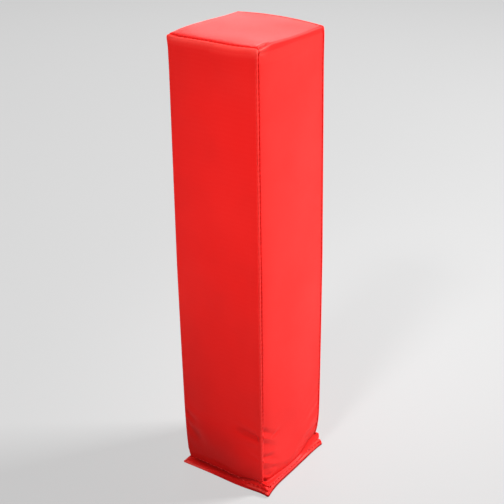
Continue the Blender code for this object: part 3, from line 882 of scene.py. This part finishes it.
def side_section():
    """The front panel's edge at every station: depth below the strip's side, distance behind the face."""
    stitched, row = sewn[:, None], cover.depth[:, None]
    # From the flat face round the corner, and in at the seam
    lead = np.linspace(TOP_ROLL, CORNER_ROLL, 5)[:-1]
    angles = np.radians(np.linspace(-90, -180, 8))
    roll_depth = CORNER_ROLL + (CORNER_ROLL - row) * np.cos(angles)
    roll_away = CORNER_ROLL + (CORNER_ROLL - row) * np.sin(angles)
    bend = np.radians(np.linspace(0, 90, 5)[1:])
    bend_depth = np.where(stitched, SEAM_BEND * (1 - np.cos(bend)), row)
    bend_away = CORNER_ROLL + SEAM_BEND * np.where(stitched, np.sin(bend), np.linspace(0.25, 1, 4))
    bend_away = bend_away - SEAM_GAPE * beat[:, None] * np.linspace(0.3, 1, 4)
    # Then behind the strip's own allowance
    behind = 2 * FOLD + GAP
    inside_away = [SEAM_LINE, *np.linspace(SEAM_LINE + GAP, SEAM_END, 4)]
    depth = side_by_side(lead, roll_depth, bend_depth, [2 * FOLD, behind, behind, behind, behind])
    away = side_by_side(np.tile(row, 4), roll_away, bend_away, inside_away)
    kept = side_by_side(np.ones(depth.shape[1] - 5, bool), np.tile(stitched, 5))
    return depth, away, kept


depth, away, kept = side_section()
edge = cover.points(depth, away - HALF)
run = wall_run()
edge_flat = np.stack([edge[..., 0], edge[..., 2]], -1)
columns = cover.base[:, 0]
top_x = np.unique(np.round(columns[cover.out[:, 1] > 0.999], 9))
for side, facing, seed in (("front", 1, 2), ("back", -1, 3)):
    turned = edge * np.array([facing, facing, 1])
    x, z = np.broadcast_arrays(top_x[None, :], np.array([height for _, height in run])[:, None])
    behind = np.array([depth for depth, _ in run])[:, None]
    face = np.stack([facing * x, facing * (behind - HALF + 0 * x), z], -1)
    grids = [(turned, kept, edge_flat), (face, np.ones(x.shape, bool), np.stack([x, z], -1))]
    panel = make_piece(side + "_cover_panel", grids, vinyl("red_vinyl_" + side, seed), COVER_CLOTH)
    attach(panel, "root")
    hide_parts(side + "_panel")

# Base panel: a square of the same vinyl that closes the foot.
# Its rim climbs inside the hem, turns over at the crest and comes down between the walls' two layers.
base_run = [(BASE_EDGE, height) for height in np.linspace(HEM_TURN_UP, FOLD_HEIGHT, 32)]
base_run += arc((BASE_EDGE + FOLD, FOLD_HEIGHT), FOLD, 180, 360, 6)[1:]
base_run += [(BASE_FLANGE, height) for height in np.linspace(FOLD_HEIGHT, CREST[1], 40)[1:-1]]
base_run += arc(CREST, HEM_GROOVE / 2, 180, 0, 6)
base_run += [(BASE_WALL, height) for height in (HEM_TURN_UP, *RISE)]
base_run += arc(HEEL, BASE_ROLL, 180, 270, 5)
base_run += [(BASE_CORNER, 0.0)]
base = make_piece(
    "base_cover_panel",
    [ring(HALF, HALF, BASE_CORNER, base_run, 0.002), level(HALF, HALF, BASE_CORNER, 0.0, -1, 0.002)],
    vinyl("red_vinyl_base", 4),
    COVER_CLOTH,
)
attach(base, "root")
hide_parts("base_panel")

# Stitches: red polyester thread. A lockstitch every 5 mm holds each seam, and is a short bar in its groove.
# One more row of longer stitches goes through all the layers of the hem, right round the foot.
DARK_THREAD = (0.74, 0.022, 0.018, 1)
PALE_THREAD = (0.94, 0.060, 0.048, 1)
thread = Finish("red_thread", Roughness=0.55)
ply = thread.noise(2600.0, 1.0)
colour = thread.mix(DARK_THREAD, PALE_THREAD, ply.step(0.35, 0.65))
strand = thread.surface(Base_Color=colour, height=ply * 0.00006)

sewing = bpy.data.node_groups.new("row_of_stitches", "GeometryNodeTree")
sewing.interface.new_socket("Geometry", in_out="INPUT", socket_type="NodeSocketGeometry")
for name in ("Length", "Thickness", "Unevenness"):
    sewing.interface.new_socket(name, in_out="INPUT", socket_type="NodeSocketFloat")
sewing.interface.new_socket("Thread", in_out="INPUT", socket_type="NodeSocketMaterial")
sewing.interface.new_socket("Geometry", in_out="OUTPUT", socket_type="NodeSocketGeometry")

rows = Tree(sewing)
given = rows.node("NodeGroupInput", {}, {})
thick = given.beside("Thickness")
size = rows.node("CombineXYZ", {}, {"X": given.beside("Length"), "Y": thick, "Z": thick})
bead = rows.node("GeometryNodeMeshUVSphere", {}, {"Segments": 8, "Rings": 5, "Radius": 0.5})
bead = rows.node("GeometryNodeTransform", {}, {"Geometry": bead, "Scale": size})
bead = rows.node("GeometryNodeSetShadeSmooth", {}, {"Geometry": bead})
# Each stitch is laid along its row first, and then turned about itself to face outwards
turn = {}
for label, settings in (("along", {"axis": "X"}), ("outward", {"axis": "Z", "pivot_axis": "X"})):
    way = rows.node("GeometryNodeInputNamedAttribute", {"data_type": "FLOAT_VECTOR"}, {"Name": label})
    turn = {"Rotation": rows.node("FunctionNodeAlignRotationToVector", settings, {"Vector": way, **turn})}
# Each stitch is scaled by a random amount from 1 less the unevenness up to 1
least = 1.0 - given.beside("Unevenness")
limits = {"Min": 0.0, "Max": 1.0, "Seed": 7}
chance = rows.node("FunctionNodeRandomValue", {"data_type": "FLOAT"}, limits, "Value")
amount = rows.node("MapRange", {}, {"Value": chance, "To Min": least})
beads = {"Points": given, "Instance": bead, "Scale": amount, **turn}
row = rows.node("GeometryNodeInstanceOnPoints", {}, beads)
row = rows.node("GeometryNodeRealizeInstances", {}, {"Geometry": row})
row = rows.node("GeometryNodeSetMaterial", {}, {"Geometry": row, "Material": given.beside("Thread")})
rows.node("NodeGroupOutput", {}, {"Geometry": row})


def sew(name, points, along, outward, length, thickness):
    """One row of stitches: at each point of the crisp box, lying along one direction and facing another."""
    points, reach = np.array(points), 0.0002
    places = settled(points)
    marks = bpy.data.meshes.new(name)
    marks.from_pydata(places.tolist(), [], [])
    for label, way in (("along", along), ("outward", outward)):
        arrows = (settled(points + reach * np.array(way)) - places) / reach
        marks.attributes.new(label, "FLOAT_VECTOR", "POINT").data.foreach_set("vector", arrows.ravel())
    marked = placed(name, marks)
    row = marked.modifiers.new("Sewing", "NODES")
    row.node_group = sewing
    given = {"Length": length, "Thickness": thickness, "Unevenness": 0.25, "Thread": strand}
    for item in sewing.interface.items_tree:
        if item.in_out == "INPUT" and item.name in given:
            row[item.identifier] = given[item.name]
    depsgraph = bpy.context.evaluated_depsgraph_get()
    sewn_row = bpy.data.meshes.new_from_object(marked.evaluated_get(depsgraph))
    bpy.data.objects.remove(marked)
    stitches = placed(name, sewn_row)
    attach(stitches, "root")
    return stitches


# The bars of the seams lie at the bottom of the groove
BAR_DEPTH = 0.0006
BAR_LENGTH = 0.0016
HEM_STITCH_LENGTH = 0.0040
THREAD_THICKNESS = 0.0005
first = math.ceil(SEWN_FROM / STITCH_PITCH)
last = math.floor((STRIP_LENGTH - SEWN_FROM) / STITCH_PITCH)
points, outs = [], []
for place in np.arange(first, last + 1) * STITCH_PITCH:
    near = min(place, STRIP_LENGTH - place)
    side = 1 if place < STRIP_LENGTH / 2 else -1
    turn = min(max((near - SHOULDER) / TOP_ROLL, 0), math.pi / 2)
    base_x = INNER - max(near - SHOULDER - TURN_LENGTH, 0)
    out = (side * math.cos(turn), 0, math.sin(turn))
    reach = TOP_ROLL - BAR_DEPTH
    for seam in (-1, 1):
        middle = seam * (HALF - SEAM_LINE - GAP / 2)
        points.append((side * base_x + reach * out[0], middle, min(near, SHOULDER) + reach * out[2]))
        outs.append(out)
sew("seam_stitches", points, (0, 1, 0), outs, BAR_LENGTH, THREAD_THICKNESS)

points, ways, outs = [], [], []
for out in ((1, 0, 0), (0, 1, 0), (-1, 0, 0), (0, -1, 0)):
    way = (-out[1], out[0], 0)
    for place in np.arange(-0.0425, 0.0430, STITCH_PITCH):
        points.append(HALF * np.array(out) + place * np.array(way) + (0, 0, STITCH_HEIGHT))
        ways.append(way)
        outs.append(out)
sew("hem_stitches", points, ways, outs, HEM_STITCH_LENGTH, THREAD_THICKNESS)

# Studio: a plain pale floor that fills the camera's view, with soft light from the right and from behind.
# The camera stands where the photograph was taken from.
CAMERA_AT = (0.623883, -0.773105, 0.698199)
CAMERA_YAW = math.radians(38.797)
CAMERA_PITCH = math.radians(24.913)
CAMERA_ROLL = math.radians(-0.906)
FOCAL_PIXELS = 1120.814
PHOTO_PIXELS = 504
FLOOR_REACH = 6
FLOOR_GREY = (0.62, 0.62, 0.62, 1)
SEEN_GREY = (0.14, 0.14, 0.14, 1)
SEEN_GLOW = (0.54, 0.54, 0.54, 1)
NO_GLOW = (0, 0, 0, 1)
SKY = (0.11, 0.11, 0.115, 1)
SEEN_SKY = (0.9, 0.9, 0.9, 1)

back = Vector((
    math.sin(CAMERA_YAW) * math.cos(CAMERA_PITCH),
    -math.cos(CAMERA_YAW) * math.cos(CAMERA_PITCH),
    math.sin(CAMERA_PITCH),
))
right = (-back).cross(Vector((0, 0, 1))).normalized()
up = right.cross(-back)
right, up = (
    math.cos(CAMERA_ROLL) * right + math.sin(CAMERA_ROLL) * up,
    -math.sin(CAMERA_ROLL) * right + math.cos(CAMERA_ROLL) * up,
)
lens = bpy.data.cameras.new("camera")
lens.sensor_width = 36.0
lens.lens = lens.sensor_width * FOCAL_PIXELS / PHOTO_PIXELS
lens.clip_start, lens.clip_end = 0.05, 50.0
camera = placed("camera", lens)
camera.matrix_world = Matrix.Translation(CAMERA_AT) @ Matrix((right, up, back)).transposed().to_4x4()
bpy.context.scene.camera = camera

ground = Finish("studio_floor", Roughness=0.9, Specular_IOR_Level=0.0, Emission_Strength=1.0)
floor_mesh = bpy.data.meshes.new("floor")
corners = [(u * FLOOR_REACH, v * FLOOR_REACH, 0) for u, v in ((-1, -1), (1, -1), (1, 1), (-1, 1))]
floor_mesh.from_pydata(corners, [], [(0, 1, 2, 3)])


def seen_in(tree):
    """1 for a ray that sees the studio, also mirrored or through glass, and 0 for one that lights things."""
    seen = ray = tree.node("LightPath", {}, {})
    for way in ("Is Glossy Ray", "Is Transmission Ray"):
        seen = seen.math("MAXIMUM", ray.beside(way))
    return seen


# Where it is seen, the floor is pale by itself and still takes the pylon's shadow
seen = seen_in(ground)
ground.surface(
    Base_Color=ground.mix(FLOOR_GREY, SEEN_GREY, seen),
    Emission_Color=ground.mix(NO_GLOW, SEEN_GLOW, seen),
)
floor_mesh.materials.append(ground.material)
floor = placed("floor", floor_mesh)

world = bpy.data.worlds.new("studio")
bpy.context.scene.world = world
world.use_nodes = True
sky = Tree(world.node_tree)
colour = sky.mix(SKY, SEEN_SKY, seen_in(sky))
sky.plug(world.node_tree.nodes["Background"].inputs["Color"], colour)

# Lamps: where each stands, what it is aimed at, its side, its spread in degrees and its power
for name, at, aim, size, spread, power in (
    ("key", (1.02, 1.33, 1.76), (0, 0, 0.25), 0.6, 180, 98.0),
    ("front", (0.25, -1.15, 1.45), (0.03, 0, 0.28), 0.35, 19, 0.50),
    ("behind", (-1.35, 1.68, 1.25), (0, 0, 0.25), 1.0, 180, 9.2),
):
    lamp = bpy.data.lights.new(name, "AREA")
    lamp.size = size
    lamp.spread = math.radians(spread)
    lamp.energy = power
    holder = placed(name, lamp)
    holder.location = at
    holder.rotation_euler = (Vector(at) - Vector(aim)).to_track_quat("Z", "Y").to_euler()

bpy.context.scene.view_settings.view_transform = "Standard"
